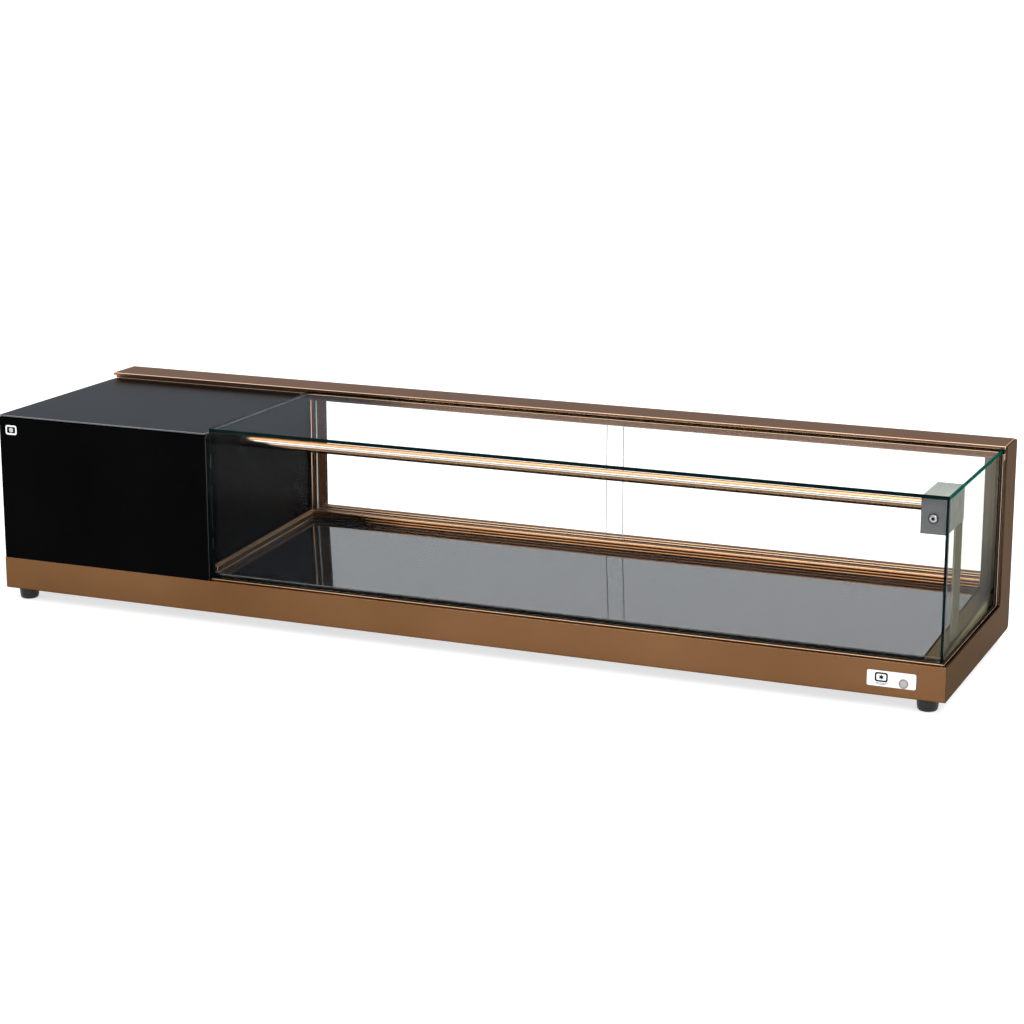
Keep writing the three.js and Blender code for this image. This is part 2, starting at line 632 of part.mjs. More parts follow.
function buildHousingLeft() {
  const front = PANEL_FRONT + SHEET + GAP;
  const rolled = front + 7 + GAP;
  const shape = outline([
    [front, PANEL_FOOT], [PANEL_REAR - SHEET - GAP, PANEL_FOOT], [PANEL_REAR - SHEET - GAP, UNDER_HEADER],
    [FRAME_FRONT - GAP, UNDER_HEADER], [FRAME_FRONT - GAP, COVER_UNDER - GAP],
    [rolled, COVER_UNDER - GAP], [rolled, COVER_UNDER - 4], [front, COVER_UNDER - 4]]);
  shape.holes.push(...slotHoles([-120, 60], [110, 210], 8, 6));
  add("housing_left_panel", alongX(shape, PANEL_LEFT, PANEL_LEFT + SHEET), blackPaint);
}

function buildHousingWall() {
  const front = PANEL_FRONT + SHEET + GAP;
  const rolled = front + 7 + GAP;
  const shape = outline([
    [front, STANDING], [FRAME_REAR, STANDING], [FRAME_REAR, UNDER_HEADER],
    [FRAME_FRONT - GAP, UNDER_HEADER], [FRAME_FRONT - GAP, COVER_UNDER - GAP],
    [rolled, COVER_UNDER - GAP], [rolled, COVER_UNDER - 4], [front, COVER_UNDER - 4]]);
  shape.holes.push(roundHole(TUBE_Y, TUBE_Z, TUBE_R + 1.8));
  add("housing_inner_wall", alongX(shape, CASE_LEFT - SHEET, CASE_LEFT), blackPaint);
}

function buildHousingRear() {
  const shape = outline(rectangle(PANEL_LEFT, CASE_LEFT, PANEL_FOOT, UNDER_HEADER));
  const { x, z, inset } = CONTROLS;
  const window = rectangle(x[0] + inset, x[1] - inset, z[0] + inset, z[1] - inset);
  shape.holes.push(new THREE.Path(window.map(([a, b]) => new THREE.Vector2(a, b))));
  shape.holes.push(roundHole(GLAND.x, GLAND.z, GLAND.r + GAP));
  shape.holes.push(...slotHoles([CONDENSER.x[0] + 15, CONDENSER.x[1] - 15], [95, 225], 9, 7));
  add("housing_rear_panel", alongY(shape, PANEL_REAR - SHEET, PANEL_REAR), blackPaint);
}

function buildWallInsulation() {
  const thick = 10;
  const shape = outline(rectangle(FRONT + 12, FRAME_FRONT - 5, CHANNEL_FLOOR + 2, COVER_UNDER - 4));
  shape.holes.push(roundHole(TUBE_Y, TUBE_Z, TUBE_R + 5));
  const right = CASE_LEFT - SHEET - GAP;
  add("wall_insulation", alongX(shape, right - thick, right), foam);
}

// ---- machine: compressor, condenser and fan ----
const TRAY_TOP = PAN_TOP + GAP + 2;
const ON_TRAY = TRAY_TOP + GAP;

function buildTray() {
  add("compressor_tray", block([LEFT + 12, CASE_LEFT - 16], [FRONT + 30, REAR - 32],
    [PAN_TOP + GAP, TRAY_TOP]), galvanised);
}

function buildCompressor() {
  const { x, y, r, top } = COMPRESSOR;
  const plateTop = ON_TRAY + 8;
  const shell = [[0, plateTop - 1], [r * 0.7, plateTop - 1], [r, plateTop + 16], [r, 100], [r + 2.5, 102],
    [r + 2.5, 106], [r, 108], [r, top - 42], [r * 0.9, top - 22], [r * 0.6, top - 6], [0, top]];
  const plate = block([-75, 75], [-55, 55], [plateTop - 3, plateTop]);
  const studs = [];
  for (const sx of [-1, 1]) {
    for (const sy of [-1, 1]) {
      studs.push(turned([[0, ON_TRAY], [6, ON_TRAY], [6, plateTop - 1], [0, plateTop - 1]], 12)
        .translate(sx * 66, sy * 46, 0));
    }
  }
  add("compressor", joined(turned(shell, 28), plate, ...studs).translate(x, y, 0), blackPaint);
}

// Upright fins on a back plate.
function buildCondenser() {
  const { x, y, z, fins } = CONDENSER;
  const thick = 2;
  const pitch = (x[1] - x[0] - thick) / (fins - 1);
  const comb = [[x[1], y[1]], [x[0], y[1]]];
  for (let i = 0; i < fins; i += 1) {
    const left = x[0] + i * pitch;
    comb.push([left, y[0]], [left + thick, y[0]]);
    if (i < fins - 1) comb.push([left + thick, y[1] - thick], [left + pitch, y[1] - thick]);
  }
  add("condenser", alongZ(outline(comb), ...z), galvanised);
}

function buildFan() {
  const { x, z, y, r } = FAN;
  const reach = r + 19;
  const shroud = outline(rectangle(x - reach, x + reach, z - reach, z + reach));
  shroud.holes.push(roundHole(x, z, r + 6));
  add("fan_shroud", alongY(shroud, y + 20, y + 23), galvanised);

  const shaft = 3;
  const hub = [[0, 6], [shaft + 0.4, 6], [shaft + 0.4, 0], [18, 0], [18, 15], [14, 17], [0, 17]];
  const blades = [];
  for (let i = 0; i < FAN.blades; i += 1) {
    const blade = block([14, r], [-0.8, 0.8], [-13, 13]).rotateX(FAN.pitch).translate(0, 9, 0);
    blades.push(blade.rotateY((i / FAN.blades) * Math.PI * 2));
  }
  const rotor = joined(turnedAlongY(hub), ...blades);
  add("fan_rotor", rotor.translate(x, y, z), blackPlastic);

  const motor = [[0, -40], [26, -40], [30, -34], [30, -10], [24, -4], [8, -4], [8, -1], [shaft, -1],
    [shaft, 5], [0, 5]];
  const leg = block([-10, 10], [-28, -18], [ON_TRAY - z, 0]);
  add("fan_motor", joined(turnedAlongY(motor), leg).translate(x, y, z), blackPaint);
}

// ---- pipework ----
const PIPE_R = 3.2;

function buildPipes() {
  const bend = 12;
  const low = (BASE_BOTTOM + CHANNEL_FLOOR) / 2 + 6;
  const foamFace = CASE_LEFT - 0.2;
  const { x, y, r } = COMPRESSOR;
  const high = COVER_UNDER - 32;
  const condenserY = (CONDENSER.y[0] + CONDENSER.y[1]) / 2;
  const out = CONDENSER.x[1] + 22;
  const drop = CASE_LEFT - 44;
  add("discharge_pipe", pipe([
    [x + r + GAP, y, 85], [x + r + 24, y, 85], [x + r + 24, y, high],
    [x + r + 24, condenserY, high], [x + r + 24, condenserY, CONDENSER.z[1] + GAP]], PIPE_R, bend), copper);
  add("liquid_pipe", pipe([
    [CONDENSER.x[1] + GAP, condenserY, 60], [out, condenserY, 60], [out, DRIER.y, 60],
    [out, DRIER.y, DRIER.z[0] - GAP]], PIPE_R, bend), copper);
  add("feed_pipe", pipe([
    [out, DRIER.y, DRIER.z[1] + GAP], [out, DRIER.y, DRIER.z[1] + 24], [drop, DRIER.y, DRIER.z[1] + 24],
    [drop, DRIER.y, low], [foamFace, DRIER.y, low]], PIPE_R, bend), copper);
  add("tube_pipe", pipe([
    [CASE_LEFT - 14.3, TUBE_Y, TUBE_Z], [drop, TUBE_Y, TUBE_Z], [drop, TUBE_Y, low],
    [foamFace, TUBE_Y, low]], PIPE_R, bend), copper);
  const offset = 40;
  const suctionY = y - offset;
  const contact = x + Math.sqrt(r ** 2 - (offset - PIPE_R) ** 2) + GAP;
  add("suction_pipe", pipe([
    [foamFace, suctionY, low], [x + r + 50, suctionY, low], [x + r + 50, suctionY, 120],
    [contact, suctionY, 120]], PIPE_R, bend), copper);

  const [bottom, top] = DRIER.z;
  add("filter_drier", turned([[0, bottom], [5, bottom], [DRIER.r, bottom + 8], [DRIER.r, top - 8],
    [5, top], [0, top]], 16).translate(out, DRIER.y, 0), copper);
}

// ---- controls ----
function buildControls() {
  const { x, z, inset } = CONTROLS;
  const front = PANEL_REAR - SHEET - GAP;
  const floor = front - 6;
  const centre = [(x[0] + x[1]) / 2, (z[0] + z[1]) / 2];
  const shaft = 4;
  const tub = cut(
    block(x, [floor - 2, front], z),
    block([x[0] + inset, x[1] - inset], [floor, front + 5], [z[0] + inset, z[1] - inset]),
    cylinderAlongY(shaft + 0.4, 30).translate(centre[0], floor, centre[1]));
  add("control_panel", tub, blackPlastic);

  const box = [floor - 40, floor - 2 - GAP];
  const body = block([x[0] + 5, x[1] - 5], box, [z[0] + 5, z[1] - 5]);
  const bore = cylinderAlongY(shaft + 0.4, 20).translate(centre[0], box[1], centre[1]);
  add("thermostat_box", cut(body, bore), galvanised);

  const knobRear = floor + 6.2;
  const knob = [[0, box[1] - 8], [shaft, box[1] - 8], [shaft, floor + 0.6], [17, floor + 0.6],
    [16, knobRear], [0, knobRear]];
  const grip = block([-2.5, 2.5], [knobRear - 2, REAR - 0.4], [-13, 15]);
  const dial = joined(turnedAlongY(knob, 28), grip);
  add("thermostat_dial", dial.translate(centre[0], 0, centre[1]), greyPlastic);
}

function buildGland() {
  const { r, x, z } = GLAND;
  const inside = PANEL_REAR - SHEET - GAP;
  const profile = [[4, inside - 8], [r + 4, inside - 8], [r + 4, inside], [r, inside], [r, PANEL_REAR + GAP],
    [r + 3, PANEL_REAR + GAP], [r + 3, REAR], [4, REAR], [4, inside - 8]];
  add("cord_gland", turnedAlongY(profile).translate(x, 0, z), blackPlastic);
}

buildFrontRail();
buildRearRail();
buildLeftRail();
buildSideFrame();
buildBasePan();
buildFeet();
buildNameplate();
buildPowerButton();
buildDeck();
buildCoil();
buildInsulation();
buildWallTrim();
buildGlazing();
buildRearTopRail();
buildSill();
buildRearPosts();
buildDoor("left", [WINDOW_LEFT + DOOR_END_GAP, LEFT_DOOR_EDGE], TRACKS.front);
buildDoor("right", [RIGHT_DOOR_EDGE, WINDOW_RIGHT - DOOR_END_GAP], TRACKS.rear);
buildUpperTube();
buildGrommet();
buildTubeBracket();
buildBracketStrap();
buildHousingFront();
buildHousingTop();
buildHousingLeft();
buildHousingWall();
buildHousingRear();
buildWallInsulation();
buildTray();
buildCompressor();
buildCondenser();
buildFan();
buildPipes();
buildControls();
buildGland();

export default displayCase;
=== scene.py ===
import math

import bmesh
import bpy
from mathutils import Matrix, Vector


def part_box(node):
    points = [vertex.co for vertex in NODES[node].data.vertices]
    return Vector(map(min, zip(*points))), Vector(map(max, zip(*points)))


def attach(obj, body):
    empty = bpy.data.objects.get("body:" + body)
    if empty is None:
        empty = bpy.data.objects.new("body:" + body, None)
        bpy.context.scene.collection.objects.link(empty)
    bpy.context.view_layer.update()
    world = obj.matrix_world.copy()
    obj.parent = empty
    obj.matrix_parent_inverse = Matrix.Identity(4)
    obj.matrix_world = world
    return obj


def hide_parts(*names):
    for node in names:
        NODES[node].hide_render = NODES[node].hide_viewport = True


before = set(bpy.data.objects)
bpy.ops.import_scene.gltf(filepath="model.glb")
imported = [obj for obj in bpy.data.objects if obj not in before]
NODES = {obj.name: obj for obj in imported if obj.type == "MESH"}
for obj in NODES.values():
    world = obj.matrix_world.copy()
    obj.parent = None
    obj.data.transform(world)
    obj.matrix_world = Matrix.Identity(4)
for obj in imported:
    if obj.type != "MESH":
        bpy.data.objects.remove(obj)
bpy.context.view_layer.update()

MM = 0.001
TRACK_DEPTH = 8 * MM  # of the grooves that the doors run in
CASE = "case"  # the bodies of the record that new pieces ride on
DIAL = "dial"
NOISE_LOW, NOISE_HIGH = 0.3, 0.7  # nearly all of a noise's values lie between these
EDGE = 1  # the place of the rounded edges' look among a CAD node's materials
FACING = 0.9  # a face looks along an axis when its normal's share of that axis is over this
PRINT = 0.12 * MM  # how far a printed mark stands out
SUNK = 0.2 * MM  # how far an added piece reaches into what carries it


# ---- measures taken from the frame ----
def low(node, axis):
    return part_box(node)[0]["xyz".index(axis)]


def high(node, axis):
    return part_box(node)[1]["xyz".index(axis)]


def middle(node):
    a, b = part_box(node)
    return (a + b) / 2


# ---- material helpers ----
def new_material(name):
    """A material with a Principled shader, its node tree, and a helper to add nodes."""
    material = bpy.data.materials.new(name)
    material.use_nodes = True
    tree = material.node_tree
    shader = next(n for n in tree.nodes if n.type == "BSDF_PRINCIPLED")

    def add(kind, **inputs):
        node = tree.nodes.new(kind)
        for key, value in inputs.items():
            if key in node.inputs:
                node.inputs[key].default_value = value
            else:
                setattr(node, key, value)
        return node

    return material, tree, shader, add


def settings(shader, **values):
    for name, value in values.items():
        shader.inputs[name.replace("_", " ")].default_value = value


def noise(tree, add, scale, detail, stretch=(1, 1, 1)):
    """Noise in the object's own coordinates, drawn out along an axis by a small stretch there."""
    place = add("ShaderNodeTexCoord")
    mapping = add("ShaderNodeMapping")
    mapping.inputs["Scale"].default_value = stretch
    tree.links.new(place.outputs["Object"], mapping.inputs["Vector"])
    texture = add("ShaderNodeTexNoise", Scale=scale, Detail=detail)
    tree.links.new(mapping.outputs["Vector"], texture.inputs["Vector"])
    return texture.outputs["Fac"]


def tones(dark, light):
    """Colour stops for a noise, from its dark places to its light ones."""
    return [(NOISE_LOW, dark), (NOISE_HIGH, light)]


def ramp(tree, add, source, stops):
    """A colour ramp; each stop is (place, colour)."""
    node = add("ShaderNodeValToRGB")
    band = node.color_ramp
    while len(band.elements) < len(stops):
        band.elements.new(0.5)
    for element, (place, colour) in zip(band.elements, stops):
        element.position = place
        element.color = (*colour, 1)
    tree.links.new(source, node.inputs["Fac"])
    return node.outputs["Color"]


def spread(tree, add, source, low_value, high_value):
    """Maps a noise's useful middle range onto low_value..high_value."""
    node = add("ShaderNodeMapRange")
    node.inputs["From Min"].default_value = NOISE_LOW
    node.inputs["From Max"].default_value = NOISE_HIGH
    node.inputs["To Min"].default_value = low_value
    node.inputs["To Max"].default_value = high_value
    tree.links.new(source, node.inputs["Value"])
    return node.outputs["Result"]


def bump(tree, add, shader, source, strength, depth):
    node = add("ShaderNodeBump", Strength=strength, Distance=depth)
    tree.links.new(source, node.inputs["Height"])
    tree.links.new(node.outputs["Normal"], shader.inputs["Normal"])


# ---- materials ----
BLASTED, DRAWN, SPRAYED = 1400, 700, 700  # how fine the grain of each kind of surface is, per metre
ALONG_X = (0.02, 1, 1)  # stretches that draw a noise out along one axis
ALONG_Z = (1, 1, 0.02)
MILD_FLARE = (1.1, 1.1, 1.1)  # the usual amounts for glare()


def glare(colour, amount):
    """A metal's colour at a flat angle: the root of its own, times an amount for each of r, g, b."""
    return (*(min(1, a * c ** 0.5) for a, c in zip(amount, colour)), 1)


def satin_metal(name, light, dark, roughness, flare=MILD_FLARE):
    """Anodised aluminium: blasted grain, cloudy tone, gloss that varies from patch to patch."""
    material, tree, shader, add = new_material(name)
    clouds = noise(tree, add, 4, detail=5)
    grain = noise(tree, add, BLASTED, detail=2)
    tree.links.new(ramp(tree, add, clouds, tones(dark, light)), shader.inputs["Base Color"])
    tree.links.new(spread(tree, add, clouds, *roughness), shader.inputs["Roughness"])
    bump(tree, add, shader, grain, strength=0.3, depth=0.02 * MM)
    settings(shader, Metallic=1.0, Specular_Tint=glare(light, flare))
    return material


def drawn_metal(name, light, dark, roughness, grain=(1, 1, 1), depth=0.01 * MM):
    """Drawn or rolled metal: fine lines along its length, cloudy tone, uneven gloss."""
    material, tree, shader, add = new_material(name)
    clouds = noise(tree, add, 6, detail=4)
    lines = noise(tree, add, DRAWN, detail=2, stretch=grain)
    tree.links.new(ramp(tree, add, clouds, tones(dark, light)), shader.inputs["Base Color"])
    tree.links.new(spread(tree, add, lines, *roughness), shader.inputs["Roughness"])
    bump(tree, add, shader, lines, strength=0.2, depth=depth)
    settings(shader, Metallic=1.0, Specular_Tint=glare(light, MILD_FLARE))
    return material


def painted(name, light, dark, roughness, peel=0.04 * MM, shine=0.5):
    """Sprayed paint or moulded plastic: orange peel, and gloss that varies from patch to patch."""
    material, tree, shader, add = new_material(name)
    clouds = noise(tree, add, 9, detail=5)
    skin = noise(tree, add, SPRAYED, detail=2)
    tree.links.new(ramp(tree, add, clouds, tones(dark, light)), shader.inputs["Base Color"])
    tree.links.new(spread(tree, add, clouds, *roughness), shader.inputs["Roughness"])
    bump(tree, add, shader, skin, strength=0.3, depth=peel)
    settings(shader, Specular_IOR_Level=shine)
    return material


def pane_glass(name, tint, bend):
    """Clear coated glass that lets the lamps' light through unbent, with a trace of haze."""
    material, tree, shader, add = new_material(name)
    haze = noise(tree, add, 3, detail=4)
    haziest, paler = 0.006, 0.01
    tree.links.new(spread(tree, add, haze, 0.0, haziest), shader.inputs["Roughness"])
    pale = [min(1, c + paler) for c in tint]
    tree.links.new(ramp(tree, add, haze, tones(tint, pale)), shader.inputs["Base Color"])
    settings(shader, Transmission_Weight=1.0, IOR=bend)
    clear = add("ShaderNodeBsdfTransparent", Color=(*tint, 1))
    path = add("ShaderNodeLightPath")
    choice = add("ShaderNodeMixShader")
    out = next(n for n in tree.nodes if n.type == "OUTPUT_MATERIAL")
    tree.links.new(path.outputs["Is Shadow Ray"], choice.inputs[0])
    tree.links.new(shader.outputs[0], choice.inputs[1])
    tree.links.new(clear.outputs[0], choice.inputs[2])
    tree.links.new(choice.outputs[0], out.inputs["Surface"])
    return material


def glass_edge(name, light, dark, shine):
    """The polished edge of a pane, which shows the glass's own tint."""
    material, tree, shader, add = new_material(name)
    depth = noise(tree, add, 40, detail=4)
    tree.links.new(ramp(tree, add, depth, tones(dark, light)), shader.inputs["Base Color"])
    tree.links.new(spread(tree, add, depth, 0.08, 0.2), shader.inputs["Roughness"])
    settings(shader, Specular_IOR_Level=shine)
    return material


def tube_with_painted_reflections(name, node, bands, roughness):
    """A polished tube whose colour changes in bands of (height across the tube, colour), which paint its
    reflections and its highlight.
    """
    material, tree, shader, add = new_material(name)
    place = add("ShaderNodeTexCoord")
    split = add("ShaderNodeSeparateXYZ")
    tree.links.new(place.outputs["Object"], split.inputs["Vector"])
    height = add("ShaderNodeMapRange")
    height.inputs["From Min"].default_value = low(node, "z")
    height.inputs["From Max"].default_value = high(node, "z")
    tree.links.new(split.outputs["Z"], height.inputs["Value"])
    blotches = noise(tree, add, 60, detail=4, stretch=ALONG_X)
    waviness = 0.03
    wander = add("ShaderNodeMath", operation="MULTIPLY_ADD")
    wander.inputs[1].default_value = waviness
    tree.links.new(blotches, wander.inputs[0])
    tree.links.new(height.outputs["Result"], wander.inputs[2])
    tree.links.new(ramp(tree, add, wander.outputs[0], bands), shader.inputs["Base Color"])
    tree.links.new(spread(tree, add, blotches, *roughness), shader.inputs["Roughness"])
    settings(shader, Metallic=1.0, Specular_Tint=(0.95, 0.58, 0.38, 1))
    return material


BRONZE = satin_metal("bronze", (0.18, 0.09, 0.04), (0.135, 0.064, 0.027), (0.3, 0.36))
# Painted light and shade: the next copies of the one bronze are darker for the side parts, lighter and
# greyer for the top rail and sill, dark for the left jamb, the end bead and the sill's front, and a middle
# tone for the rear post and the deck trim.
BRONZE_SHADED_SIDE = satin_metal("bronze_painted_shade_side", (0.1, 0.062, 0.04), (0.075, 0.046, 0.029), (0.32, 0.4),
                          flare=(1.42, 1.6, 1.8))
BRONZE_LIT = satin_metal("bronze_painted_light", (0.19, 0.115, 0.08), (0.15, 0.088, 0.058), (0.26, 0.34),
                         flare=(1.55, 1.6, 1.65))
BRONZE_DARK = satin_metal("bronze_dark", (0.06, 0.042, 0.028), (0.042, 0.028, 0.018), (0.22, 0.34))
BRONZE_MID = satin_metal("bronze_mid", (0.15, 0.125, 0.09), (0.11, 0.092, 0.064), (0.26, 0.36))
# Painted highlight: a bright copy of the bronze for rounded edges and for the front rail's top.
BRONZE_HIGHLIGHT = satin_metal("bronze_painted_highlight", (1.0, 0.7, 0.47), (0.88, 0.54, 0.32), (0.12, 0.2))
STRAP = satin_metal("strap", (0.2, 0.185, 0.135), (0.16, 0.145, 0.1), (0.3, 0.4))
COPPER = drawn_metal("copper", (0.75, 0.38, 0.17), (0.66, 0.31, 0.13), (0.05, 0.09), ALONG_X,
                     depth=0.003 * MM)
# Painted reflection on the cooling tube: a white highlight band, dark lines, and a dark brown lower half
# where it would mirror the deck.
TUBE_PAINTED_REFLECTION_BANDS = [(0.0, (0.02, 0.01, 0.005)), (0.08, (0.12, 0.06, 0.03)), (0.2, (0.24, 0.15, 0.09)),
              (0.42, (0.2, 0.115, 0.06)), (0.52, (0.13, 0.06, 0.02)), (0.56, (0.45, 0.27, 0.15)),
              (0.59, (1.0, 0.97, 0.93)), (0.79, (1.0, 0.95, 0.88)), (0.82, (0.1, 0.045, 0.02)),
              (0.87, (1.0, 0.6, 0.35)), (0.95, (0.8, 0.38, 0.17)), (1.0, (0.4, 0.14, 0.06))]
TUBE_COPPER_PAINTED_REFLECTION = tube_with_painted_reflections("copper_tube_painted_reflection", "cooling_tube", TUBE_PAINTED_REFLECTION_BANDS, (0.08, 0.14))
# Painted light and shade on the tube's cover: a lighter copy of the steel for its top, a darker one for its
# front, and a bright one as painted highlight on its sheet edges.
STEEL_LIT_TOP = drawn_metal("steel_painted_light_top", (0.42, 0.43, 0.38), (0.36, 0.37, 0.33), (0.24, 0.34))
STEEL = drawn_metal("brushed_steel", (0.36, 0.365, 0.36), (0.29, 0.295, 0.29), (0.24, 0.34), ALONG_Z)
STEEL_SHADED_FRONT = drawn_metal("steel_painted_shade_front", (0.125, 0.125, 0.125), (0.1, 0.1, 0.1), (0.32, 0.42), ALONG_Z)
STEEL_EDGE_HIGHLIGHT = drawn_metal("steel_painted_edge_highlight", (0.75, 0.76, 0.77), (0.6, 0.61, 0.62), (0.15, 0.25))
GALVANISED = drawn_metal("galvanised", (0.42, 0.43, 0.43), (0.28, 0.29, 0.3), (0.4, 0.6))
CHROME = drawn_metal("chrome", (0.7, 0.7, 0.7), (0.62, 0.62, 0.62), (0.04, 0.1))
DOME_STEEL = drawn_metal("dome_steel", (0.4, 0.4, 0.41), (0.32, 0.32, 0.33), (0.08, 0.16))
BLACK_PAINT = painted("black_paint", (0.0018, 0.0018, 0.002), (0.001, 0.001, 0.0012), (0.2, 0.24),
                      shine=0.008)
# Painted light: the housing's top cover gets a lighter, glossier copy of the black paint.
BLACK_PAINT_LIT_TOP = painted("black_painted_light_top", (0.0036, 0.0037, 0.0038), (0.002, 0.0021, 0.0022), (0.2, 0.24), shine=0.013)
# Painted highlight: a light grey copy of the black paint for the housing's rounded edges.
BLACK_EDGE_HIGHLIGHT = painted("black_painted_edge_highlight", (0.19, 0.19, 0.2), (0.14, 0.14, 0.148), (0.16, 0.26), shine=0.8)
TRIM_BLACK = painted("trim_black", (0.02, 0.014, 0.01), (0.012, 0.008, 0.006), (0.35, 0.5), shine=0.1)
BLACK_METAL = painted("black_metal", (0.012, 0.012, 0.013), (0.006, 0.006, 0.007), (0.35, 0.5))
DECK_BLACK = painted("deck_black", (0.0045, 0.005, 0.006), (0.003, 0.0034, 0.004), (0.03, 0.06),
                     peel=0.003 * MM, shine=1.0)
BLACK_PLASTIC = painted("black_plastic", (0.02, 0.02, 0.02), (0.012, 0.012, 0.012), (0.4, 0.55))
# Painted shade in the grooves that the doors run in; the same dark material is also the tube's rubber
# grommet.
GROOVE_SHADE_AND_GROMMET = painted("painted_groove_shade_and_grommet", (0.006, 0.005, 0.004), (0.003, 0.0025, 0.002), (0.5, 0.7), shine=0.05)
GREY_PLASTIC = painted("grey_plastic", (0.4, 0.36, 0.34), (0.34, 0.31, 0.29), (0.35, 0.45))
RING_GREY = painted("ring_grey", (0.3, 0.27, 0.25), (0.24, 0.21, 0.2), (0.35, 0.45))
WHITE_PLASTIC = painted("white_plastic", (0.9, 0.9, 0.89), (0.84, 0.84, 0.82), (0.25, 0.35), peel=0.01 * MM)
# Black ink for printed marks, also used as painted shade inside the dome screw's socket.
PRINT_INK_AND_SHADE = painted("ink", (0.008, 0.008, 0.01), (0.004, 0.004, 0.005), (0.4, 0.5), peel=0.01 * MM, shine=0.05)
WHITE_INK = painted("white_ink", (0.85, 0.85, 0.83), (0.75, 0.75, 0.73), (0.4, 0.5), peel=0.01 * MM)
RUBBER = painted("rubber", (0.01, 0.0095, 0.009), (0.005, 0.005, 0.0045), (0.35, 0.5),
                 peel=0.1 * MM, shine=0.3)
FOAM = painted("foam", (0.75, 0.68, 0.46), (0.62, 0.55, 0.34), (0.8, 0.95), peel=0.4 * MM)
# The panes' optical indices are low, like those of glass with an anti-reflective coating.
GLASS = pane_glass("glass", (0.985, 1.0, 0.993), 1.08)
GLASS_TOP = pane_glass("glass_top", (0.985, 1.0, 0.993), 1.03)
# Painted shade: a grey copy of the clear glass for the end pane, which darkens what is seen through it and
# the light it lets through.
GLASS_END = pane_glass("glass_end", (0.66, 0.672, 0.625), 1.02)
GLASS_EDGE = glass_edge("glass_edge", (0.001, 0.011, 0.01), (0.0005, 0.004, 0.004), 0.02)
# Painted light: a brighter green copy of the glass edge, for the top pane's right end.
GLASS_EDGE_LIT_END = glass_edge("glass_edge_painted_light_end", (0.001, 0.09, 0.055), (0.0005, 0.05, 0.034), 0.0)
GLASS_EDGE_DOOR = glass_edge("glass_edge_door", (0.3, 0.32, 0.31), (0.22, 0.24, 0.23), 0.3)

# Each row: the material, the material of the edges that soften() rounds (a painted highlight where it is
# brighter than the material), and the nodes.
LOOKS = [
    (BRONZE, BRONZE_HIGHLIGHT, ["base_rail_front", "base_rail_rear", "glazing_bead_front"]),
    (BRONZE_LIT, BRONZE_HIGHLIGHT, ["rear_top_rail", "sill"]),
    (BRONZE_SHADED_SIDE, BRONZE_SHADED_SIDE, ["side_frame_right", "base_rail_left"]),
    (BRONZE_DARK, BRONZE_HIGHLIGHT, ["rear_jamb_left", "glazing_bead_end"]),
    (TRIM_BLACK, BRONZE_HIGHLIGHT, ["wall_trim"]),
    (BRONZE_MID, BRONZE_MID, ["rear_post_right", "deck_trim_right"]),
    (STRAP, STRAP, ["bracket_strap"]),
    (TUBE_COPPER_PAINTED_REFLECTION, TUBE_COPPER_PAINTED_REFLECTION, ["cooling_tube"]),
    (COPPER, COPPER, ["evaporator_coil", "discharge_pipe", "liquid_pipe", "feed_pipe",
                      "tube_pipe", "suction_pipe", "filter_drier"]),
    (STEEL, STEEL, ["tube_bracket"]),
    (GALVANISED, GALVANISED, ["base_pan", "compressor_tray", "condenser", "fan_shroud", "thermostat_box"]),
    (CHROME, CHROME, ["bracket_screw"]),
    (BLACK_PAINT, BLACK_EDGE_HIGHLIGHT, ["housing_front_panel", "housing_left_panel", "housing_inner_wall",
                               "housing_rear_panel"]),
    (BLACK_PAINT_LIT_TOP, BLACK_EDGE_HIGHLIGHT, ["housing_top_cover"]),
    (BLACK_METAL, BLACK_METAL, ["compressor", "fan_motor"]),
    (DECK_BLACK, DECK_BLACK, ["display_deck"]),
    (BLACK_PLASTIC, BLACK_PLASTIC, ["door_left_runner", "door_right_runner", "control_panel", "cord_gland",
                                    "fan_rotor", "button_switch"]),
    (GREY_PLASTIC, GREY_PLASTIC, ["power_button", "thermostat_dial"]),
    (WHITE_PLASTIC, WHITE_PLASTIC, ["nameplate"]),
    (RUBBER, RUBBER, ["foot_front_left", "foot_front_right", "foot_rear_left", "foot_rear_right",
                      "glazing_gasket_front", "glazing_gasket_end"]),
    (GROOVE_SHADE_AND_GROMMET, GROOVE_SHADE_AND_GROMMET, ["tube_grommet"]),
    (FOAM, FOAM, ["base_insulation", "wall_insulation"]),
]
# Each pane's glass, the look of its edges, and the look of the edge at its right end, which on the top pane
# is a brighter green as painted light.
PANES = {
    "glass_front": (GLASS, GLASS_EDGE, GLASS_EDGE),
    "glass_end": (GLASS_END, GLASS_EDGE, GLASS_EDGE),
    "glass_top": (GLASS_TOP, GLASS_EDGE, GLASS_EDGE_LIT_END),
    "door_left_glass": (GLASS, GLASS_EDGE_DOOR, GLASS_EDGE_DOOR),
    "door_right_glass": (GLASS, GLASS_EDGE_DOOR, GLASS_EDGE_DOOR),
}


def dress(node, *materials):
    mesh = NODES[node].data
    mesh.materials.clear()
    for material in materials:
        mesh.materials.append(material)


def round_edges(piece, width, segments=2):
    bevel = piece.modifiers.new("edge", "BEVEL")
    bevel.width = width
    bevel.segments = segments
    bevel.limit_method = "ANGLE"
    bevel.angle_limit = math.radians(40)
    bevel.harden_normals = True
    return bevel


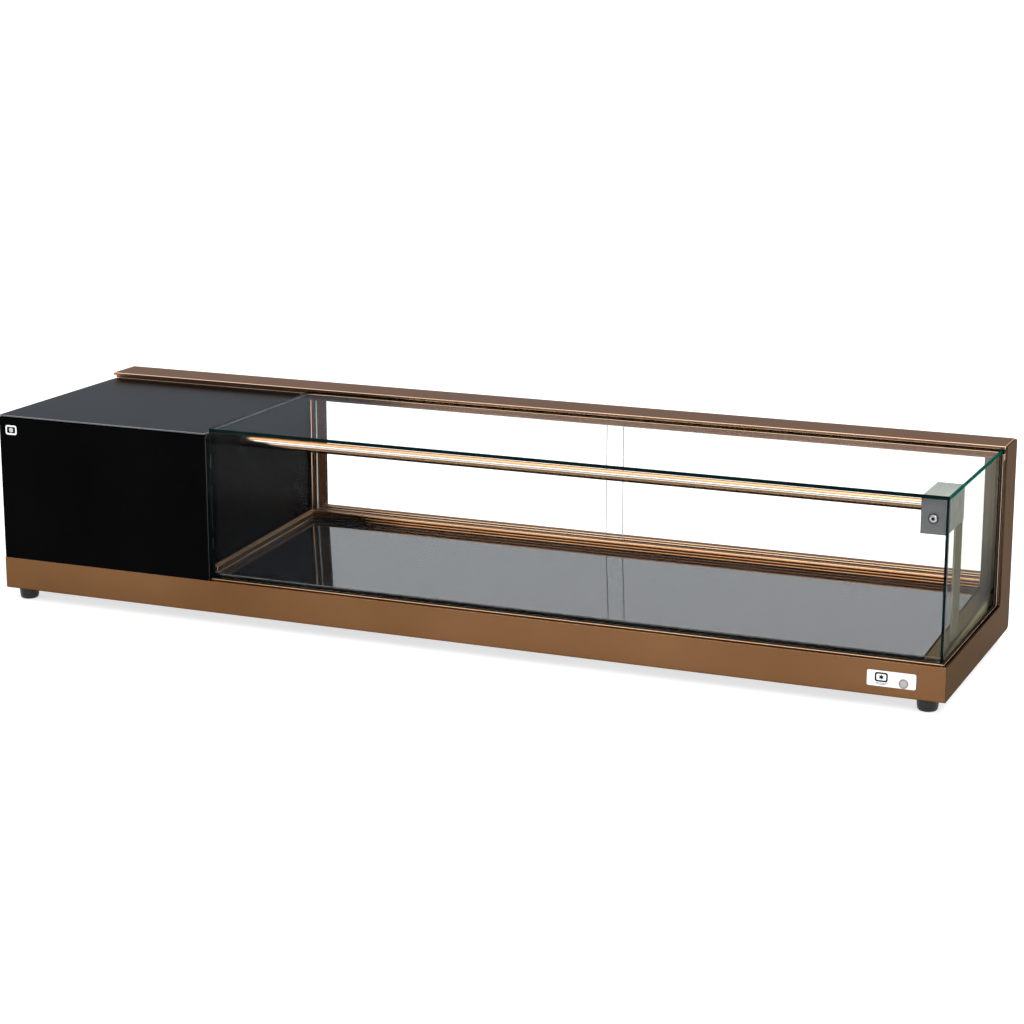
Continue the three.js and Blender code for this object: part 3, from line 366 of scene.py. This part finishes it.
def soften(node, width, segments):
    """Rounds a CAD node's edges by a bevel modifier and smooths its round faces."""
    obj = NODES[node]
    for attribute in ("custom_normal", "sharp_edge"):
        if attribute in obj.data.attributes:
            obj.data.attributes.remove(obj.data.attributes[attribute])
    for face in obj.data.polygons:
        face.use_smooth = True
    same_place = 0.001 * MM
    obj.modifiers.new("join", "WELD").merge_threshold = same_place
    flat = obj.modifiers.new("flat", "DECIMATE")
    flat.decimate_type = "DISSOLVE"
    flat.angle_limit = math.radians(0.5)
    flat.delimit = {"MATERIAL"}
    # The rounded edges take the node's edge look, which is a painted highlight where LOOKS gives a brighter
    # material.
    round_edges(obj, width, segments).material = EDGE


def thin_axis(node):
    a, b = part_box(node)
    return min(range(3), key=lambda i: b[i] - a[i])


def dress_nodes():
    for material, edge, nodes in LOOKS:
        for node in nodes:
            dress(node, material, edge)
    for node, looks in PANES.items():
        dress(node, *looks)
        for face in NODES[node].data.polygons:
            if abs(face.normal[thin_axis(node)]) > FACING:
                face.material_index = 0
            else:
                face.material_index = 2 if face.normal.x > FACING else 1


def paint_track_shade():
    """Paints shade into the grooves that the doors run in, and paints the front of the sill a dark bronze as
    shade.
    """
    skin = 1 * MM
    for node, opening in (("sill", high("sill", "z")), ("rear_top_rail", low("rear_top_rail", "z"))):
        mesh = NODES[node].data
        mesh.materials.append(GROOVE_SHADE_AND_GROMMET)
        groove_shade = len(mesh.materials) - 1
        a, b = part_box(node)
        for face in mesh.polygons:
            inside = a.y + skin < face.center.y < b.y - skin
            depth = abs(face.center.z - opening)
            if inside and skin < depth < TRACK_DEPTH + skin:
                face.material_index = groove_shade
    # Painted shade: the front of the sill gets the dark copy of the bronze.
    sill = NODES["sill"].data
    sill.materials.append(BRONZE_DARK)
    front = len(sill.materials) - 1
    for face in sill.polygons:
        if face.center.y < low("sill", "y") + skin:
            face.material_index = front


def paint_rim_highlight():
    """Paints a highlight: the top of the front rail takes the bright look of its rounded edges."""
    top, skin = high("base_rail_front", "z"), 0.1 * MM
    for face in NODES["base_rail_front"].data.polygons:
        if top - face.center.z < skin:
            face.material_index = EDGE


# Each row: the width of the rounded edges, their segments, and the nodes.
SOFT_EDGES = [
    (1.9 * MM, 3, ["base_rail_front"]),
    (1.1 * MM, 3, ["base_rail_rear", "base_rail_left", "side_frame_right", "rear_top_rail", "sill"]),
    (2.2 * MM, 3, ["housing_front_panel"]),
    (0.7 * MM, 2, ["rear_jamb_left", "rear_post_right", "housing_top_cover"]),
    (0.5 * MM, 2, ["glazing_bead_front", "deck_trim_right"]),
    (0.25 * MM, 2, ["wall_trim"]),
    (0.3 * MM, 2, ["glazing_bead_end", "display_deck", "bracket_strap", "housing_rear_panel",
                   "housing_left_panel", "housing_inner_wall", "nameplate"]),
    (0.2 * MM, 1, ["glazing_gasket_front", "glazing_gasket_end"]),
]


def soften_nodes():
    for width, segments, nodes in SOFT_EDGES:
        for node in nodes:
            soften(node, width, segments)


# ---- pieces in mesh code ----
def make_piece(name, shape, material, body=CASE, smooth=True):
    mesh = bpy.data.meshes.new(name)
    bmesh.ops.recalc_face_normals(shape, faces=shape.faces)
    shape.to_mesh(mesh)
    shape.free()
    piece = bpy.data.objects.new(name, mesh)
    bpy.context.scene.collection.objects.link(piece)
    mesh.materials.append(material)
    for face in mesh.polygons:
        face.use_smooth = smooth
    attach(piece, body)
    return piece


def close_bar(shape, near, far):
    """A closed bar between two rings of points."""
    near, far = ([shape.verts.new(point) for point in ring] for ring in (near, far))
    shape.faces.new(near)
    shape.faces.new(reversed(far))
    join_rings(shape, near, far)


def join_rings(shape, ring, after):
    count = len(ring)
    for i in range(count):
        j = (i + 1) % count
        shape.faces.new((ring[i], ring[j], after[j], after[i]))


def prism(shape, points, front, back):
    """A flat piece whose outline lies in the x-z plane, from y = front to y = back."""
    close_bar(shape, *([(x, y, z) for x, z in points] for y in (front, back)))


def extruded(shape, points, x0, x1):
    """A bar along x whose outline lies in the y-z plane."""
    close_bar(shape, *([(x, y, z) for y, z in points] for x in (x0, x1)))


def bar_outline(x, z, length, width, angle=0.0):
    """Corners of a straight bar centred on (x, z) and turned by angle."""
    along = Vector((math.cos(angle), math.sin(angle))) * length / 2
    across = Vector((-math.sin(angle), math.cos(angle))) * width / 2
    corners = [along + across, across - along, -along - across, along - across]
    return [(x + c.x, z + c.y) for c in corners]


def rounded_outline(x, z, width, height, radius, steps=6):
    points = []
    for quarter, (sx, sz) in enumerate(((1, 1), (-1, 1), (-1, -1), (1, -1))):
        for i in range(steps + 1):
            angle = (quarter + i / steps) * math.pi / 2
            points.append((x + sx * (width / 2 - radius) + radius * math.cos(angle),
                           z + sz * (height / 2 - radius) + radius * math.sin(angle)))
    return points


def ring_prism(shape, outer, inner, front, back):
    """A flat ring between two outlines that have equally many points."""
    rows = [[shape.verts.new((x, y, z)) for x, z in points]
            for points, y in ((outer, front), (inner, front), (inner, back), (outer, back))]
    for row, after in zip(rows, rows[1:] + rows[:1]):
        join_rings(shape, row, after)


def turned(shape, profile, centre, steps, hexagon):
    """Turns (radius, y) points about a line along y; radii equal to hexagon follow a hexagon."""
    rings = []
    for radius, y in profile:
        ring = []
        for i in range(steps):
            angle = i / steps * 2 * math.pi
            reach = radius
            if radius == hexagon:
                reach = radius / math.cos(angle % (math.pi / 3) - math.pi / 6)
            ring.append(shape.verts.new((centre.x + reach * math.cos(angle), centre.y + y,
                                         centre.z + reach * math.sin(angle))))
        rings.append(ring)
    for ring, after in zip(rings, rings[1:]):
        join_rings(shape, ring, after)
    shape.faces.new(rings[0])
    shape.faces.new(rings[-1])


def crystal_mark(name, x, z, face, size, ink, lines):
    """A plain printed mark: a snow crystal in a rounded frame, with bars below it instead of text."""
    front, back = face - PRINT, face + SUNK
    width, stroke = size * 1.35, size * 0.17
    outer_radius, inner_radius = size * 0.24, size * 0.14
    arm_length, arm_width = size * 0.5, size * 0.12
    first_line, line_pitch, line_height = size * 0.62, size * 0.13, size * 0.05
    shape = bmesh.new()
    ring_prism(shape, rounded_outline(x, z, width, size, outer_radius),
               rounded_outline(x, z, width - stroke * 2, size - stroke * 2, inner_radius), front, back)
    for arm in range(3):
        angle = (arm + 0.5) * math.pi / 3
        prism(shape, bar_outline(x, z, arm_length, arm_width, angle), front, back)
    for line in range(lines):
        line_width = width * (1 - 0.3 * line)
        drop = first_line + line_pitch * line
        prism(shape, bar_outline(x, z - drop, line_width, line_height), front, back)
    make_piece(name, shape, ink, smooth=False)


def build_sill_beads():
    """Three half-round beads along the front of the sill, just above the deck."""
    beads, radius, steps = 3, 1.3 * MM, 8
    root, end_gap, foot_gap, top_gap, edge = 0.3 * MM, 1 * MM, 2 * MM, 2.4 * MM, 0.1 * MM
    face = low("sill", "y")
    foot, top = high("display_deck", "z") + foot_gap, high("sill", "z") - top_gap
    shape = bmesh.new()
    for i in range(beads):
        z = foot + (top - foot) * i / (beads - 1)
        arc = [math.pi * (0.5 + j / steps) for j in range(steps + 1)]
        points = [(face + radius * math.cos(a), z + radius * math.sin(a)) for a in arc]
        points += [(face + root, z - radius), (face + root, z + radius)]
        extruded(shape, points, low("sill", "x") + end_gap, high("sill", "x") - end_gap)
    round_edges(make_piece("sill_beads", shape, COPPER), edge, 1)


def build_rear_screws():
    """Pan-head screws that hold the housing's rear panel."""
    a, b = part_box("housing_rear_panel")
    inset, foot, edge = 9 * MM, 8 * MM, 0.1 * MM
    socket, rim, radius, height = 1.4 * MM, 0.4 * MM, 3.6 * MM, 0.85 * MM
    profile = [(socket, -SUNK), (socket, height), (socket + rim, height),
               (radius * 0.8, height * 0.8), (radius, height * 0.35), (radius, -SUNK)]
    shape = bmesh.new()
    for x in (a.x + inset, (a.x + b.x) / 2, b.x - inset):
        for z in (a.z + foot, b.z - foot):
            turned(shape, profile, Vector((x, b.y, z)), steps=24, hexagon=socket)
    round_edges(make_piece("rear_screws", shape, CHROME), edge, 1)


def build_dial_marks():
    """A pointer on the thermostat's dial, and the scale round it."""
    a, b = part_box("thermostat_dial")
    x, z, radius = (a.x + b.x) / 2, (a.z + b.z) / 2, (b.x - a.x) / 2
    reach, length, width, root = radius * 0.55, radius * 0.6, 1.4 * MM, 0.3 * MM
    pointer = bmesh.new()
    prism(pointer, bar_outline(x, z + reach, length, width, math.pi / 2), b.y - root, b.y + PRINT)
    make_piece("dial_pointer", pointer, WHITE_INK, body=DIAL, smooth=False)
    plate = high("control_panel", "y")
    ticks, first, sweep, width = 7, -45, 270, 1.1 * MM  # the ticks grow longer along the scale
    scale = bmesh.new()
    for i in range(ticks):
        angle = math.radians(first + sweep * i / (ticks - 1))
        reach, length = radius + (4.5 + 0.25 * i) * MM, (2.6 + 0.5 * i) * MM
        tick = bar_outline(x + reach * math.cos(angle), z + reach * math.sin(angle), length, width, angle)
        prism(scale, tick, plate - SUNK, plate + 0.1 * MM)
    make_piece("dial_scale", scale, WHITE_INK, smooth=False)


def build_marks():
    inset, rise, size = 20 * MM, 2 * MM, 13.5 * MM
    crystal_mark("plate_mark", low("nameplate", "x") + inset, middle("nameplate").z + rise,
                 low("nameplate", "y"), size, PRINT_INK_AND_SHADE, lines=2)
    a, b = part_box("housing_front_panel")
    inset, drop, size = 21 * MM, 20 * MM, 15 * MM
    crystal_mark("housing_mark", a.x + inset, b.z - drop, a.y, size, WHITE_INK, lines=0)


def build_button_ring():
    """The thin grey bezel round the power button."""
    centre = middle("power_button")
    centre.y = low("nameplate", "y")
    opening, width = 0.82, 1.5 * MM  # the opening is a share of the button's radius
    inner = (high("power_button", "x") - low("power_button", "x")) / 2 * opening
    outer = inner + width
    proud, edge, steps = 0.35 * MM, 0.15 * MM, 8
    circles = [rounded_outline(centre.x, centre.z, 2 * r, 2 * r, r, steps) for r in (outer, inner)]
    shape = bmesh.new()
    ring_prism(shape, *circles, centre.y - proud, centre.y + SUNK)
    round_edges(make_piece("button_ring", shape, RING_GREY), edge)


def build_bracket():
    """The folded cover at the tube's end: three plates with bent corners and a rounded rear corner."""
    a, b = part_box("tube_bracket")
    thick, corner, steps = 1.5 * MM, 6 * MM, 6
    fold, edge = 2.2 * MM, 0.3 * MM
    left, right, front, rear, foot, top = a.x, b.x, a.y, b.y, a.z, b.z
    shape = bmesh.new()

    def point(x, y, z):
        return shape.verts.new((x, y, z))

    front_top_left = point(left, front, top)
    front_top = point(right, front, top)
    front_foot = point(right, front, foot)
    front_foot_left = point(left, front, foot)
    rear_top_left = point(left, rear - corner, top)
    arc = []
    for i in range(steps + 1):
        angle = math.pi / 2 * (1 - i / steps)
        arc.append(point(right, rear - corner + corner * math.cos(angle),
                         top - corner + corner * math.sin(angle)))
    rear_foot = point(right, rear, foot)
    shape.faces.new((front_foot_left, front_foot, front_top, front_top_left))
    shape.faces.new([front_foot, rear_foot] + arc[::-1] + [front_top])
    shape.faces.new((front_top_left, front_top, arc[0], rear_top_left))
    shape.normal_update()
    folds = [e for e in shape.edges if len(e.link_faces) == 2]
    bmesh.ops.bevel(shape, geom=folds, offset=fold, offset_type="OFFSET", segments=4, profile=0.5,
                    affect="EDGES")
    piece = make_piece("folded_bracket", shape, STEEL)
    # Painted light and shade: front faces darker, top faces lighter, and the sheet's cut edges a painted
    # highlight.
    shaded_front_look, highlight_rim_look, lit_top_look = 1, 2, 3
    for material in (STEEL_SHADED_FRONT, STEEL_EDGE_HIGHLIGHT, STEEL_LIT_TOP):
        piece.data.materials.append(material)
    for face in piece.data.polygons:
        if face.normal.y < -FACING:
            face.material_index = shaded_front_look
        elif face.normal.z > FACING:
            face.material_index = lit_top_look
    shell = piece.modifiers.new("sheet", "SOLIDIFY")
    shell.thickness = thick
    shell.offset = -1
    shell.material_offset_rim = highlight_rim_look
    round_edges(piece, edge)
    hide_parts("tube_bracket")


def build_bracket_screw():
    """A dome-headed socket screw with its washer."""
    a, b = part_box("bracket_screw")
    plate = low("tube_bracket", "y")
    centre = Vector(((a.x + b.x) / 2, plate, (a.z + b.z) / 2))
    head = a.y - plate
    washer, dome, socket = (b.x - a.x) / 2, (b.x - a.x) / 2 * 0.78, 2.2 * MM
    socket_depth, rim, flat, shank = 2.2 * MM, 0.6 * MM, 0.9 * MM, 3 * MM
    dome_foot, washer_top, washer_edge, chamfer = -1.4 * MM, -1.2 * MM, -0.8 * MM, 0.4 * MM
    steps = 5
    profile = [(socket, head + socket_depth), (socket, head + 0.1 * MM), (socket + rim, head)]
    for i in range(steps + 1):
        angle = i / steps * math.pi / 2
        profile.append((socket + flat + (dome - socket - flat) * math.sin(angle),
                        dome_foot + (head - dome_foot) * math.cos(angle)))
    profile += [(dome, washer_top), (washer - chamfer, washer_top), (washer, washer_edge), (washer, 0.0),
                (shank, 0.0), (shank, b.y - plate)]
    shape = bmesh.new()
    turned(shape, profile, centre, steps=48, hexagon=socket)
    piece = make_piece("dome_screw", shape, DOME_STEEL)
    # Painted shade: the faces inside the socket are black.
    washer_look, socket_shade_look = 1, 2
    for material in (BLACK_METAL, PRINT_INK_AND_SHADE):
        piece.data.materials.append(material)
    for face in piece.data.polygons:
        reach = math.hypot(face.center.x - centre.x, face.center.z - centre.z)
        if reach < socket * 1.1:
            face.material_index = socket_shade_look
        elif reach > dome:
            face.material_index = washer_look
    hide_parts("bracket_screw")


dress_nodes()
paint_track_shade()
paint_rim_highlight()
soften_nodes()
build_marks()
build_button_ring()
build_bracket()
build_bracket_screw()
build_sill_beads()
build_rear_screws()
build_dial_marks()


# ---- stage ----
def build_floor():
    """A wide white floor that glows a little, so that only faint shadows show on it."""
    mesh = bpy.data.meshes.new("floor")
    size, glow = 100, 0.6
    mesh.from_pydata([(-size, -size, 0), (size, -size, 0), (size, size, 0), (-size, size, 0)], [],
                     [(0, 1, 2, 3)])
    floor = bpy.data.objects.new("floor", mesh)
    bpy.context.scene.collection.objects.link(floor)
    white = painted("floor_white", (0.6, 0.6, 0.6), (0.59, 0.59, 0.59), (0.8, 0.9), shine=0.1)
    shader = next(n for n in white.node_tree.nodes if n.type == "BSDF_PRINCIPLED")
    settings(shader, Emission_Color=(1, 1, 1, 1), Emission_Strength=glow)
    floor.data.materials.append(white)


def build_world():
    """A white sky that turns a bluish grey towards the horizon."""
    world = bpy.data.worlds.new("studio")
    world.use_nodes = True
    tree = world.node_tree
    background = next(n for n in tree.nodes if n.type == "BACKGROUND")
    background.inputs["Strength"].default_value = 1.3
    direction = tree.nodes.new("ShaderNodeTexCoord")
    split = tree.nodes.new("ShaderNodeSeparateXYZ")
    band = tree.nodes.new("ShaderNodeValToRGB")
    horizon, sky = band.color_ramp.elements
    horizon.position, horizon.color = 0.16, (0.4, 0.455, 0.54, 1)
    sky.position, sky.color = 0.45, (1, 1, 1, 1)
    tree.links.new(direction.outputs["Generated"], split.inputs["Vector"])
    tree.links.new(split.outputs["Z"], band.inputs["Fac"])
    tree.links.new(band.outputs["Color"], background.inputs["Color"])
    bpy.context.scene.world = world


def area_light(name, place, target, size, power):
    data = bpy.data.lights.new(name, "AREA")
    data.shape = "RECTANGLE"
    data.size, data.size_y = size
    data.energy = power
    light = bpy.data.objects.new(name, data)
    bpy.context.scene.collection.objects.link(light)
    light.location = place
    light.rotation_euler = (Vector(target) - Vector(place)).to_track_quat("-Z", "Y").to_euler()


def build_lights():
    area_light("key", (2.4, -2.8, 2.6), (0, 0, 0), (2.0, 2.0), 50)
    area_light("top", (0.3, 0.6, 3.4), (0, 0, 0), (4.0, 2.0), 40)


def build_camera():
    data = bpy.data.cameras.new("camera")
    data.sensor_width = 36
    data.lens = 87.21
    camera = bpy.data.objects.new("camera", data)
    bpy.context.scene.collection.objects.link(camera)
    camera.location = (1.4680, -3.3530, 1.0583)
    pitch, yaw = 0.2386, 0.4047  # radians downwards and to the left
    camera.rotation_euler = (math.pi / 2 - pitch, 0, yaw)
    bpy.context.scene.camera = camera


build_floor()
build_world()
build_lights()
build_camera()
bpy.context.scene.view_settings.view_transform = "Standard"
